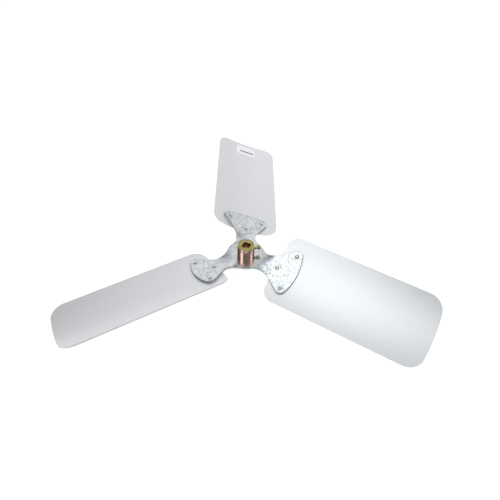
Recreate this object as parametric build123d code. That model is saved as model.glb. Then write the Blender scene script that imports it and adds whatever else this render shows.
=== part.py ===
from build123d import *
from math import asin, atan2, cos, hypot, radians, sin, sqrt
import os

# Three-blade propeller fan: a stamped steel spider carries a turned hub and three cambered sheet blades.
# Millimetres. +Z is the fan's axis towards the hub's open end. Z is zero on the spider's upper face.
# Arm 1 points along +X. Seen from above, each blade's leading edge is its lower, clockwise edge.

# Fan
FAN_DIAMETER = 609.6
BLADE_COUNT = 3

# Blade sheet
BLADE_THICKNESS = 1.3
BLADE_PITCH = 20.1
CAMBER_RADIUS = 202.8
LEADING_REACH = 55.0
TRAILING_REACH = 59.4
ROOT_DISTANCE = 52.2
ROOT_SWELL = 5.0
TIP_LEADING_CORNER = 24.5
TIP_TRAILING_CORNER = 25.0
ROOT_LEADING_CORNER = 22.0
ROOT_TRAILING_CORNER = 17.0

# Hub
HUB_DIAMETER = 27.0
HUB_HEIGHT = 20.5
BORE_DIAMETER = 12.7
HUB_EDGE_CHAMFER = 0.6
BORE_CHAMFER = 0.7
KEYWAY_WIDTH = 3.2
KEYWAY_DEPTH = 1.7
SHOULDER_WIDTH = 2.5
SWAGE_LAP = 1.8
SWAGE_HEIGHT = 1.4
SWAGE_ROUNDING = 0.6

# Set screw
SCREW_ANGLE = 40.0
SCREW_DROP = 8.4
SCREW_DIAMETER = 4.83
SCREW_CLEARANCE = 0.05
SCREW_SETBACK = 0.3
SCREW_PROJECTION = 9.5
SCREW_POINT_CHAMFER = 0.6
SCREW_NECK_DIAMETER = 3.6
SCREW_NECK_LENGTH = 1.0
SCREW_HEAD_SQUARE = 4.76
SCREW_HEAD_LENGTH = 3.6
SCREW_HEAD_CHAMFER = 0.4

# Spider
SPIDER_THICKNESS = 3.0
DISC_RADIUS = 30.5
SEAT_MARGIN = 8.5
TWIST_CLEARANCE = 4.0
NECK_DISTANCE = 38.0
NECK_WIDTH = 30.8
PAD_EDGE = 9.0

# Rivets
RIVET_DIAMETER = 4.8
RIVET_CLEARANCE = 0.05
RIVET_ROOT_EDGE = 5.0
RIVET_ROW_GAP = 20.0
RIVET_SPREAD = 53.7
FORMED_HEAD_DIAMETER = 6.2
FORMED_HEAD_HEIGHT = 1.2
FACTORY_HEAD_DIAMETER = 8.4
FACTORY_HEAD_HEIGHT = 1.9

# Label
LABEL_BLADE = 2
LABEL_LENGTH = 39.0
LABEL_WIDTH = 27.5
LABEL_CORNER = 1.0
LABEL_THICKNESS = 0.12
LABEL_GLUE = 0.1
LABEL_TIP_DISTANCE = 22.8

# A cutter is this many times as long as what it goes through
THROUGH = 4

# Sizes that follow from those above
TIP_RADIUS = FAN_DIAMETER / 2
BORE_RADIUS = BORE_DIAMETER / 2
HUB_RADIUS = HUB_DIAMETER / 2
SPIGOT_RADIUS = HUB_RADIUS - SHOULDER_WIDTH
SCREW_HEIGHT = HUB_HEIGHT - SCREW_DROP
SCREW_RADIUS = SCREW_DIAMETER / 2
PAD_TOP_RADIUS = CAMBER_RADIUS - SPIDER_THICKNESS
PITCH = radians(BLADE_PITCH)
BLADE_MIDDLE = (TRAILING_REACH - LEADING_REACH) / 2
TWIST_START = HUB_RADIUS + SEAT_MARGIN
TWIST_END = ROOT_DISTANCE - TWIST_CLEARANCE
RIVET_INNER_X = ROOT_DISTANCE + RIVET_ROOT_EDGE
RIVET_OUTER_X = RIVET_INNER_X + RIVET_ROW_GAP
RIVET_OUTER_Y = RIVET_SPREAD / 2
RIVET_RADIUS = RIVET_DIAMETER / 2
PAD_REACH = hypot(RIVET_OUTER_X, RIVET_OUTER_Y) + PAD_EDGE
RIVET_PLACES = {
    "inner": (RIVET_INNER_X, 0),
    "leading": (RIVET_OUTER_X, -RIVET_OUTER_Y),
    "trailing": (RIVET_OUTER_X, RIVET_OUTER_Y),
}

# A strip this wide either way about the camber axis takes in the whole blade
BLADE_HALF_ANGLE = asin((LEADING_REACH + TRAILING_REACH) / CAMBER_RADIUS)

# The pad of arm 1 is tangent to this plane along the arm's centre line
PAD_PLANE = Plane(origin=(0, 0, 0), x_dir=(1, 0, 0), z_dir=(0, -sin(PITCH), cos(PITCH)))
# The axis that the pad and the blade are curved about, as (y, z)
CAMBER_AXIS = (-PAD_TOP_RADIUS * sin(PITCH), PAD_TOP_RADIUS * cos(PITCH))


def camber_point(radius, angle, x):
    """A point on a sheet of this radius, at an angle from straight below the camber axis."""
    return (x, CAMBER_AXIS[0] + radius * sin(angle), CAMBER_AXIS[1] - radius * cos(angle))


def camber_angle(radius, y):
    """The angle about the camber axis at which a sheet of this radius is y from the arm's centre line."""
    return asin((y - CAMBER_AXIS[0]) / radius)


def normal_plane(radius, x, y):
    """A plane on a sheet, square to its surface, with its Z towards the camber axis."""
    angle = camber_angle(radius, y)
    return Plane(camber_point(radius, angle, x), x_dir=(1, 0, 0), z_dir=(0, -sin(angle), cos(angle)))


def cambered_face(radius, start, end, half_angle):
    """A strip of the cylinder about the camber axis, from one distance along the arm to another."""
    low, middle, high = [
        camber_point(radius, PITCH + share * half_angle, start)
        for share in (-1, 0, 1)
    ]
    return Face.extrude(Edge.make_three_point_arc(low, middle, high), (end - start, 0, 0))


def cut_sheet(face, cutter, thickness, towards):
    """The part of a face inside a cutter, thickened square to its surface."""
    return Solid.thicken((face & cutter).face(), thickness, normal_override=towards)


def circle_arc(center, start, end):
    """The shorter arc about a centre between two points that are equally far from it."""
    middle = (Vector(start) + Vector(end)) / 2 - Vector(center)
    radius = (Vector(start) - Vector(center)).length
    return ThreePointArc(start, Vector(center) + middle.normalized() * radius, end)


def arm_outline():
    """The spider's outline in plan: the centre disc and arm 1, with tangent fillets at its neck."""
    neck = NECK_WIDTH / 2
    fillet_radius = (NECK_DISTANCE**2 + neck**2 - DISC_RADIUS**2) / (2 * (DISC_RADIUS - neck))
    fillet_center = Vector(NECK_DISTANCE, neck + fillet_radius)
    corner_center = Vector(RIVET_OUTER_X, RIVET_OUTER_Y)
    # The pad's flank is the line that touches the neck's fillet on one side and the pad's corner on the other
    between = corner_center - fillet_center
    flank = atan2(between.Y, between.X) + asin((fillet_radius + PAD_EDGE) / between.length)
    across = Vector(sin(flank), -cos(flank))
    disc_end = fillet_center.normalized() * DISC_RADIUS
    flank_start = fillet_center + across * fillet_radius
    flank_end = corner_center - across * PAD_EDGE
    corner_end = corner_center.normalized() * PAD_REACH
    half = [
        circle_arc(fillet_center, disc_end, flank_start),
        Line(flank_start, flank_end),
        circle_arc(corner_center, flank_end, corner_end),
    ]
    other_half = [mirror(edge, Plane.XZ) for edge in half]
    outer_edge = circle_arc((0, 0), corner_end, (corner_end.X, -corner_end.Y))
    inner_edge = Line(disc_end, (disc_end.X, -disc_end.Y))
    arm = make_face(Curve() + half + other_half + [outer_edge, inner_edge])
    return Circle(DISC_RADIUS) + arm


def neck_face():
    """The smooth sheet between the flat disc and the pitched, cambered pad of arm 1."""
    half_angle = asin(DISC_RADIUS / PAD_TOP_RADIUS)
    third = (TWIST_END - TWIST_START) / 3

    def flat_row(x):
        return [(x, -DISC_RADIUS, 0), (x, 0, 0), (x, DISC_RADIUS, 0)]

    def pad_row(x):
        low = camber_point(PAD_TOP_RADIUS, PITCH - half_angle, x)
        middle = camber_point(PAD_TOP_RADIUS / cos(half_angle), PITCH, x)
        high = camber_point(PAD_TOP_RADIUS, PITCH + half_angle, x)
        return [low, middle, high]

    rows = [
        flat_row(TWIST_START),
        flat_row(TWIST_START + third),
        pad_row(TWIST_END - third),
        pad_row(TWIST_END),
    ]
    return Face.make_bezier_surface(rows, [[1, cos(half_angle), 1] for row in rows])


def rivet_holes():
    """Cutters for the rivet holes of arm 1, through its pad and its blade."""
    drill = Cylinder(RIVET_RADIUS + RIVET_CLEARANCE, THROUGH * (SPIDER_THICKNESS + BLADE_THICKNESS))
    return [normal_plane(PAD_TOP_RADIUS, x, y) * drill for x, y in RIVET_PLACES.values()]


def make_spider():
    cutter = extrude(arm_outline(), PAD_REACH, both=True)
    down = -PAD_PLANE.z_dir
    pad_angle = asin(PAD_REACH / PAD_TOP_RADIUS)
    pad = cambered_face(PAD_TOP_RADIUS, TWIST_END, PAD_REACH + PAD_EDGE, pad_angle)
    arm = cut_sheet(pad, cutter, SPIDER_THICKNESS, down) - rivet_holes()
    arm += cut_sheet(neck_face(), cutter, SPIDER_THICKNESS, down)
    # The flat centre lies inside the lines where the arms begin to twist
    flat = Circle(DISC_RADIUS) & RegularPolygon(TWIST_START, BLADE_COUNT, major_radius=False, rotation=180)
    spider = extrude(flat, -SPIDER_THICKNESS)
    spider += [Rot(Z=turn) * arm for turn in turns()]
    return spider - Cylinder(SPIGOT_RADIUS, THROUGH * SPIDER_THICKNESS)


def blade_outline():
    """The blade's outline on the pad plane: X along the arm, Y towards the trailing edge."""
    root = ROOT_DISTANCE + ROOT_SWELL
    root_leading = (root, -LEADING_REACH)
    root_trailing = (root, TRAILING_REACH)
    tip_leading = (sqrt(TIP_RADIUS**2 - LEADING_REACH**2), -LEADING_REACH)
    tip_trailing = (sqrt(TIP_RADIUS**2 - TRAILING_REACH**2), TRAILING_REACH)
    edges = [
        Line(tip_leading, root_leading),
        ThreePointArc(root_leading, (ROOT_DISTANCE, 0), root_trailing),
        Line(root_trailing, tip_trailing),
        ThreePointArc(tip_trailing, (TIP_RADIUS, 0), tip_leading),
    ]
    roundings = [
        (tip_leading, TIP_LEADING_CORNER),
        (root_leading, ROOT_LEADING_CORNER),
        (root_trailing, ROOT_TRAILING_CORNER),
        (tip_trailing, TIP_TRAILING_CORNER),
    ]
    outline = make_face(Curve() + edges)
    for corner, radius in roundings:
        outline = fillet(outline.vertices().sort_by_distance(corner)[0], radius)
    return outline


def make_blade():
    """The blade of arm 1, its concave upper face against the pad's underside."""
    cutter = extrude(PAD_PLANE * blade_outline(), CAMBER_RADIUS / 2, both=True)
    face = cambered_face(CAMBER_RADIUS, 0, FAN_DIAMETER, BLADE_HALF_ANGLE)
    return cut_sheet(face, cutter, BLADE_THICKNESS, -PAD_PLANE.z_dir) - rivet_holes()


def dome_arc(rim, seat, crown):
    """The arc of a round head from its crown on the rivet's axis to its rim."""
    height = crown - seat
    radius = (rim**2 + height**2) / (2 * height)
    half_way = asin(rim / radius) / 2
    middle = (radius * sin(half_way), crown - radius * (1 - cos(half_way)))
    return ThreePointArc((0, crown), middle, (rim, seat))


def make_rivet(x, y):
    """A rivet of arm 1: a formed dome above the pad, a shank, and a factory head under the blade."""
    formed_rim = FORMED_HEAD_DIAMETER / 2
    factory_rim = FACTORY_HEAD_DIAMETER / 2
    # The dome's rim stands on the hollow pad, which rises a little from the rivet's axis to the rim
    formed_seat = PAD_TOP_RADIUS - sqrt(PAD_TOP_RADIUS**2 - formed_rim**2)
    formed_crown = formed_seat + FORMED_HEAD_HEIGHT
    factory_seat = -SPIDER_THICKNESS - BLADE_THICKNESS
    factory_crown = factory_seat - FACTORY_HEAD_HEIGHT
    edges = [
        Line((0, factory_crown), (0, formed_crown)),
        dome_arc(formed_rim, formed_seat, formed_crown),
        Line((formed_rim, formed_seat), (RIVET_RADIUS, formed_seat)),
        Line((RIVET_RADIUS, formed_seat), (RIVET_RADIUS, factory_seat)),
        Line((RIVET_RADIUS, factory_seat), (factory_rim, factory_seat)),
        dome_arc(factory_rim, factory_seat, factory_crown),
    ]
    profile = Plane.XZ * make_face(Curve() + edges)
    return normal_plane(PAD_TOP_RADIUS, x, y) * revolve(profile, Axis.Z)


def screw_plane():
    """A plane at the hub's centre, with its Z out along the set screw."""
    angle = radians(SCREW_ANGLE)
    return Plane((0, 0, SCREW_HEIGHT), x_dir=(0, 0, 1), z_dir=(cos(angle), sin(angle), 0))


def make_hub():
    upright = (Align.CENTER, Align.CENTER, Align.MIN)
    hanging = (Align.CENTER, Align.CENTER, Align.MAX)
    barrel = Cylinder(HUB_RADIUS, HUB_HEIGHT, align=upright)
    barrel = chamfer(barrel.edges().group_by(Axis.Z)[-1], HUB_EDGE_CHAMFER)
    spigot = Cylinder(SPIGOT_RADIUS, SPIDER_THICKNESS, align=hanging)
    swage = Cylinder(SPIGOT_RADIUS + SWAGE_LAP, SWAGE_HEIGHT, align=hanging)
    swage = fillet(swage.edges().group_by(Axis.Z)[0], SWAGE_ROUNDING)
    hub = barrel + spigot + Pos(Z=-SPIDER_THICKNESS) * swage
    hub -= Cylinder(BORE_RADIUS, THROUGH * HUB_HEIGHT)
    bore_wall = hub.faces().filter_by(GeomType.CYLINDER).sort_by(SortBy.RADIUS)[0]
    hub = chamfer(bore_wall.edges().filter_by(GeomType.CIRCLE), BORE_CHAMFER)
    outwards = (Align.MIN, Align.CENTER, Align.CENTER)
    keyway = Box(BORE_RADIUS + KEYWAY_DEPTH, KEYWAY_WIDTH, THROUGH * HUB_HEIGHT, align=outwards)
    hub -= Rot(Z=SCREW_ANGLE) * keyway
    return hub - screw_plane() * Cylinder(SCREW_RADIUS, HUB_DIAMETER, align=upright)


def make_set_screw():
    """The set screw, built along Z from the hub's centre line outwards."""
    upright = (Align.CENTER, Align.CENTER, Align.MIN)
    point = BORE_RADIUS + KEYWAY_DEPTH + SCREW_SETBACK
    head_start = HUB_RADIUS + SCREW_PROJECTION - SCREW_HEAD_LENGTH
    neck_start = head_start - SCREW_NECK_LENGTH
    shank = Pos(Z=point) * Cylinder(SCREW_RADIUS - SCREW_CLEARANCE, neck_start - point, align=upright)
    shank = chamfer(shank.edges().group_by(Axis.Z)[0], SCREW_POINT_CHAMFER)
    neck = Pos(Z=neck_start) * Cylinder(SCREW_NECK_DIAMETER / 2, SCREW_NECK_LENGTH, align=upright)
    head = Pos(Z=head_start) * Box(SCREW_HEAD_SQUARE, SCREW_HEAD_SQUARE, SCREW_HEAD_LENGTH, align=upright)
    head = chamfer(head.edges().group_by(Axis.Z)[-1], SCREW_HEAD_CHAMFER)
    return screw_plane() * (shank + neck + head)


def make_label():
    """The paper label on arm 1's blade, glued to its concave face near the tip, half way across."""
    place = Pos(TIP_RADIUS - LABEL_TIP_DISTANCE, BLADE_MIDDLE)
    outline = place * RectangleRounded(LABEL_WIDTH, LABEL_LENGTH, LABEL_CORNER)
    cutter = extrude(PAD_PLANE * outline, CAMBER_RADIUS / 2, both=True)
    radius = CAMBER_RADIUS - LABEL_GLUE
    face = cambered_face(radius, 0, FAN_DIAMETER, BLADE_HALF_ANGLE)
    return cut_sheet(face, cutter, LABEL_THICKNESS, PAD_PLANE.z_dir)


def turns():
    """The angle of each arm about the fan's axis."""
    return [number * 360 / BLADE_COUNT for number in range(BLADE_COUNT)]


def main():
    os.makedirs("parts", exist_ok=True)
    pieces = {"spider": make_spider(), "hub": make_hub(), "set_screw": make_set_screw()}
    blade = make_blade()
    rivets = {name: make_rivet(x, y) for name, (x, y) in RIVET_PLACES.items()}
    for number, turn in enumerate(turns(), start=1):
        pieces[f"blade_{number}"] = Rot(Z=turn) * blade
        for name, rivet in rivets.items():
            pieces[f"rivet_{number}_{name}"] = Rot(Z=turn) * rivet
    pieces["label"] = Rot(Z=turns()[LABEL_BLADE - 1]) * make_label()
    for name, piece in pieces.items():
        export_step(piece, f"parts/{name}.step")


main()
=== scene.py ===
# %% [markdown]
# # A three-blade propeller fan
# This lesson dresses a fan that a condenser unit carries on its motor shaft. Three cambered
# aluminium sheets are riveted under the pads of a galvanised steel spider, and a yellow zinc
# plated hub with a square-head set screw stands in the middle. The solids come from CAD and
# stay where they are. Here they get their finishes, their light and the camera, and the pieces
# that follow a rule, the blades, the rivets and the screw's thread, are grown with Geometry Nodes.

# %% Load the frame
import math

import bpy
from mathutils import Matrix, Vector


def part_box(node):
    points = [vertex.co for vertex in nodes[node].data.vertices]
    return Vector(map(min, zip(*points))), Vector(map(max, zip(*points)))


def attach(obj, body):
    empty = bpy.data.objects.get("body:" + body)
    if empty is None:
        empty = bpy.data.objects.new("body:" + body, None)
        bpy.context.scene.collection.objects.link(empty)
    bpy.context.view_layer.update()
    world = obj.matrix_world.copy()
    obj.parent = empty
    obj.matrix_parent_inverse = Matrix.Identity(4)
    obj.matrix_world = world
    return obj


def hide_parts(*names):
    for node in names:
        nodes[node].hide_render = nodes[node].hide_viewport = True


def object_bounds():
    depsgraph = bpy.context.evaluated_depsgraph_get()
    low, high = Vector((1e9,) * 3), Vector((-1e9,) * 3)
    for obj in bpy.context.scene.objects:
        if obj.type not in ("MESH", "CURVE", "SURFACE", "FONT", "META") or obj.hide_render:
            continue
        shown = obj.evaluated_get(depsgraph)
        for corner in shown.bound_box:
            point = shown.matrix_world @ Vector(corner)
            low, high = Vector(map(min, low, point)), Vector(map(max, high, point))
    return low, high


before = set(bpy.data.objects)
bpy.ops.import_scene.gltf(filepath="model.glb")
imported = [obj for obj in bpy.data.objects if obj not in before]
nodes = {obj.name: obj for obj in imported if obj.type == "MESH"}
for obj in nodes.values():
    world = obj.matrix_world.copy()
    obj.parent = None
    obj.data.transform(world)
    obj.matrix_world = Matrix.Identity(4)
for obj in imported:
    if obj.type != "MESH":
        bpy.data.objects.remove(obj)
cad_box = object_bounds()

scene = bpy.context.scene
print("CAD nodes:", len(nodes))

# %% [markdown]
# ## Two helpers
# Colours are written as sRGB hex values, as a colour picker shows them, but a shader counts in
# linear light, so one function converts them. Another adds a node to a tree: its settings come
# by name, and each input is a value, the socket that feeds it, or a node, whose first output is
# taken. Both kinds of tree in this lesson, shaders and Geometry Nodes, are built with it.


# %% Colour and node helpers
def linear(hex_code):
    """An sRGB hex colour as the linear RGBA that a socket takes."""
    channels = [int(hex_code[i:i + 2], 16) / 255 for i in (1, 3, 5)]
    return [c / 12.92 if c <= 0.04045 else ((c + 0.055) / 1.055) ** 2.4 for c in channels] + [1.0]


def add(tree, kind, inputs=None, **settings):
    """Adds a node. An input is keyed by its name or number, and takes a value, a socket or a node."""
    node = tree.nodes.new(kind)
    for name, value in settings.items():
        setattr(node, name, value)
    for key, value in (inputs or {}).items():
        if isinstance(value, bpy.types.Node):
            value = value.outputs[0]
        if isinstance(value, bpy.types.NodeSocket):
            tree.links.new(value, node.inputs[key])
        else:
            node.inputs[key].default_value = value
    return node


MM = 0.001
ARM_COUNT = 3
print("the scene is in metres, and a millimetre is", MM)

# %% [markdown]
# ## The camera
# The photograph was taken from above and to the right of arm 1, with the camera tilted slightly.
# The camera's place is worked out from four things that can be read off a picture: the direction
# it looks in, its tilt, how far it is from the hub, and where the hub's top lies in the frame. A
# look-at constraint would be quicker, but it always puts its target in the middle of the picture.

# %% Place the camera
SENSOR_MM = 36
NEAREST_SEEN = 10 * MM
IMAGE_SIDE = 500
FOCAL_PIXELS = 453.24
CAMERA_AZIMUTH = math.radians(28.38)
CAMERA_ELEVATION = math.radians(47.331)
CAMERA_ROLL = math.radians(2.465)
HUB_DEPTH = 714.16 * MM
HUB_PIXEL = (246.07, 245.01)
HUB_TOP = Vector((0, 0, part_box("hub")[1].z))

turn = Matrix.Rotation(CAMERA_AZIMUTH, 3, "Z")
forward = turn @ Vector((0, math.cos(CAMERA_ELEVATION), -math.sin(CAMERA_ELEVATION)))
level_right = turn @ Vector((1, 0, 0))
level_up = level_right.cross(forward)
right = math.cos(CAMERA_ROLL) * level_right + math.sin(CAMERA_ROLL) * level_up
up = right.cross(forward)
across = (HUB_PIXEL[0] - IMAGE_SIDE / 2) / FOCAL_PIXELS * HUB_DEPTH
down = (HUB_PIXEL[1] - IMAGE_SIDE / 2) / FOCAL_PIXELS * HUB_DEPTH
place = HUB_TOP - across * right + down * up - HUB_DEPTH * forward

camera = bpy.data.objects.new("camera", bpy.data.cameras.new("camera"))
camera.data.sensor_width = SENSOR_MM
camera.data.lens = SENSOR_MM * FOCAL_PIXELS / IMAGE_SIDE
camera.data.clip_start = NEAREST_SEEN
camera.matrix_world = Matrix.Translation(place) @ Matrix((right, up, -forward)).transposed().to_4x4()
scene.collection.objects.link(camera)
scene.camera = camera
print("camera at", [round(v, 3) for v in place], "lens", round(camera.data.lens, 2))

# %% [markdown]
# ## Floor and light
# The fan lies on a white table in a bright room. Bare metal shows its surroundings more than its
# own colour, so the room matters as much as the finishes. One soft box hangs over the fan and makes
# the near blade almost white. Around it the room is dim, with a few broad light panels: the far
# walls are what the other two blades show, and it is dark behind the camera, which is what
# darkens the hub. A beam, a corner and a doorway are darker than the rest, and the metal shows them
# as soft shading. A picture of a studio could light the room too, but named panels can be changed
# one by one. The table glows faintly, as a light table does, and that keeps shadows pale.

# %% The table
scene.view_settings.view_transform = "Standard"
TABLE_SIDE = 30.0
TABLE_COLOUR = "#B4B4B4"
TABLE_GLOW = 0.78
TABLE_ROUGHNESS = 0.9
table_z = cad_box[0].z
half = TABLE_SIDE / 2
corners = ((-half, -half), (half, -half), (half, half), (-half, half))
table_mesh = bpy.data.meshes.new("table")
table_mesh.from_pydata([(x, y, table_z) for x, y in corners], [], [(0, 1, 2, 3)])
table = bpy.data.objects.new("table", table_mesh)
scene.collection.objects.link(table)

white_table = bpy.data.materials.new("white_light_table")
white_table.use_nodes = True
table_shader = white_table.node_tree.nodes["Principled BSDF"]
table_shader.inputs["Base Color"].default_value = linear(TABLE_COLOUR)
table_shader.inputs["Roughness"].default_value = TABLE_ROUGHNESS
table_shader.inputs["Emission Color"].default_value = linear("#FFFFFF")
table_shader.inputs["Emission Strength"].default_value = TABLE_GLOW
table_mesh.materials.append(white_table)
print("table at", round(table_z / MM, 1), "mm")

# %% The room
ROOM_COLOUR = "#FEFDFE"
ROOM_LIGHT = 0.24
# Each panel has an azimuth from +X and an elevation, both in degrees, a strength, and the cosine of
# the angle at which it has faded out. The beam, the corner and the doorway take light away.
PANELS = {
    "far_right_wall": (45, 5, 0.41, 0.7),
    "far_wall": (90, 5, 0.50, 0.7),
    "far_left_wall": (135, 5, 0.47, 0.7),
    "high_far_wall": (117, 38, 0.44, 0.75),
    "window_behind": (242, 47, 2.4, 0.968),
    "right_window": (28, 46, 1.9, 0.965),
    "right_ceiling": (60, 65, 0.14, 0.7),
    "left_ceiling": (120, 65, 0.26, 0.7),
    "dark_beam": (126, 63, -0.42, 0.945),
    "dark_corner": (82, 60, -0.22, 0.95),
    "dark_doorway": (155, 53, -0.32, 0.92),
}

world = bpy.data.worlds.new("room")
world.use_nodes = True
scene.world = world
room = world.node_tree
room.nodes.clear()
looking = add(room, "ShaderNodeTexCoord").outputs["Generated"]
light = ROOM_LIGHT
for azimuth, elevation, strength, edge in PANELS.values():
    level = math.cos(math.radians(elevation))
    towards = (level * math.cos(math.radians(azimuth)), level * math.sin(math.radians(azimuth)),
               math.sin(math.radians(elevation)))
    nearness = add(room, "ShaderNodeVectorMath", {0: looking, 1: towards}, operation="DOT_PRODUCT")
    panel = add(room, "ShaderNodeMapRange", {
        0: nearness.outputs["Value"], 1: edge, 2: 1.0, 3: 0.0, 4: strength}, interpolation_type="SMOOTHSTEP")
    light = add(room, "ShaderNodeMath", {0: light, 1: panel})
background = add(room, "ShaderNodeBackground", {"Color": linear(ROOM_COLOUR), "Strength": light})
add(room, "ShaderNodeOutputWorld", {"Surface": background})
print("light panels:", len(PANELS))

# %% The soft box
SOFT_BOX_AT = Vector((-0.2, -0.15, 1.56))
SOFT_BOX_AIM = Vector((0.05, 0.0, 0.0))
SOFT_BOX_SIDE = 1.3
SOFT_BOX_WATTS = 7.5
SOFT_BOX_COLOUR = "#F9FEFD"
soft_box = bpy.data.lights.new("overhead_soft_box", "AREA")
soft_box.size = SOFT_BOX_SIDE
soft_box.energy = SOFT_BOX_WATTS
soft_box.color = linear(SOFT_BOX_COLOUR)[:3]
holder = bpy.data.objects.new("overhead_soft_box", soft_box)
facing = (SOFT_BOX_AIM - SOFT_BOX_AT).to_track_quat("-Z", "Y")
holder.matrix_world = Matrix.Translation(SOFT_BOX_AT) @ facing.to_matrix().to_4x4()
scene.collection.objects.link(holder)
print("soft box", soft_box.size, "m wide,", soft_box.energy, "W")

# %% [markdown]
# ## Coordinates along each arm
# The three arms are one shape turned by thirds of a circle, and the rolling lines of the sheet run
# along each arm. The coordinates are therefore turned back to arm 1: the angle round the
# axis is rounded to the nearest third of a turn and undone. The result is in millimetres, so
# every pattern below can be given a real size. It is a node group, because several finishes use it.
# Its second output is the plain place in millimetres, for patterns that differ from arm to arm.

# %% Arm coordinates in millimetres
arm_frame = bpy.data.node_groups.new("arm_frame_mm", "ShaderNodeTree")
for output in ("Arm", "Plain"):
    arm_frame.interface.new_socket(output, in_out="OUTPUT", socket_type="NodeSocketVector")
object_place = add(arm_frame, "ShaderNodeTexCoord")
plain_mm = add(arm_frame, "ShaderNodeVectorMath", {
    0: object_place.outputs["Object"], 3: 1 / MM}, operation="SCALE")
parts = add(arm_frame, "ShaderNodeSeparateXYZ", {0: plain_mm})
angle = add(arm_frame, "ShaderNodeMath", {
    0: parts.outputs["Y"], 1: parts.outputs["X"]}, operation="ARCTAN2")
# Snap rounds down, so half a step is added first
ahead = add(arm_frame, "ShaderNodeMath", {0: angle, 1: math.pi / ARM_COUNT})
arm_angle = add(arm_frame, "ShaderNodeMath", {0: ahead, 1: math.tau / ARM_COUNT}, operation="SNAP")
undo = add(arm_frame, "ShaderNodeMath", {0: arm_angle, 1: -1.0}, operation="MULTIPLY")
turned = add(arm_frame, "ShaderNodeVectorRotate", {"Vector": plain_mm, "Angle": undo},
             rotation_type="Z_AXIS")
add(arm_frame, "NodeGroupOutput", {0: turned, 1: plain_mm})
print(arm_frame.name, "has", len(arm_frame.nodes), "nodes")


def start_finish(name):
    """A new material, its tree, and the outputs that give the place in millimetres."""
    finish = bpy.data.materials.new(name)
    finish.use_nodes = True
    finish.node_tree.nodes.clear()
    in_mm = add(finish.node_tree, "ShaderNodeGroup", node_tree=arm_frame)
    return finish, finish.node_tree, in_mm.outputs


# %% [markdown]
# ## Mill-finish aluminium
# The blades are cut from rolled sheet and left bare. The rolls leave fine lines along the sheet and
# a satin shine: it mirrors nothing, but it still turns bright where the soft box is reflected.
# A shader with a brushed, anisotropic shine could stand for the lines, but a stretched noise is
# plainer, and it can be given the lines' own spacing.

# %% Mill-finish aluminium
mill_aluminium, tree, in_mm = start_finish("mill_finish_aluminium")
# Rolling lines are about 0.1 mm apart. They are drawn 1.5 mm apart, or they would not show.
LINES_PER_MM = 0.65
LINE_ENDS_PER_MM = 0.012
along = add(tree, "ShaderNodeMapping", {
    0: in_mm["Arm"], "Scale": (LINE_ENDS_PER_MM, LINES_PER_MM, LINES_PER_MM)})
lines = add(tree, "ShaderNodeTexNoise", {"Vector": along, "Scale": 1.0, "Detail": 2.0})
# The grain of the sheet is finer still. It is drawn as a speckle about 1.5 mm across.
# A noise texture mostly stays between the low and the high value.
NOISE_LOW = 0.3
NOISE_HIGH = 0.7
GRAINS_PER_MM = 0.65
GRAIN_SHARE = 0.75
GRAIN_DEPTH = 0.02 * MM
SHEET_ROUGHNESS = (0.4, 0.48)
grain = add(tree, "ShaderNodeTexNoise", {
    "Vector": in_mm["Plain"], "Scale": GRAINS_PER_MM, "Detail": 2.0})
mixed = add(tree, "ShaderNodeMix", {0: GRAIN_SHARE, 2: lines, 3: grain})
tone = add(tree, "ShaderNodeMapRange", {0: mixed, 1: NOISE_LOW, 2: NOISE_HIGH})
colour = add(tree, "ShaderNodeMix", {
    0: tone, 6: linear("#E1E3E5"), 7: linear("#E8E9EB")}, data_type="RGBA")
gloss = add(tree, "ShaderNodeMapRange", {
    0: mixed, 1: NOISE_LOW, 2: NOISE_HIGH, 3: SHEET_ROUGHNESS[0], 4: SHEET_ROUGHNESS[1]})
# The rolls print shallow dimples, about 4 mm apart, which show where the soft box fades out
DIMPLES_PER_MM = 0.25
DIMPLE_DEPTH = 0.12 * MM
dimples = add(tree, "ShaderNodeTexNoise", {
    "Vector": in_mm["Plain"], "Scale": DIMPLES_PER_MM, "Detail": 2.0})
hollow = add(tree, "ShaderNodeBump", {"Height": dimples, "Strength": 1.0, "Distance": DIMPLE_DEPTH})
relief = add(tree, "ShaderNodeBump", {
    "Height": mixed, "Strength": 0.12, "Distance": GRAIN_DEPTH, "Normal": hollow})
shader = add(tree, "ShaderNodeBsdfPrincipled", {
    "Base Color": colour.outputs[2], "Metallic": 1.0, "Roughness": gloss, "Normal": relief})
add(tree, "ShaderNodeOutputMaterial", {"Surface": shader})
print(mill_aluminium.name, "has", len(tree.nodes), "nodes")
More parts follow.
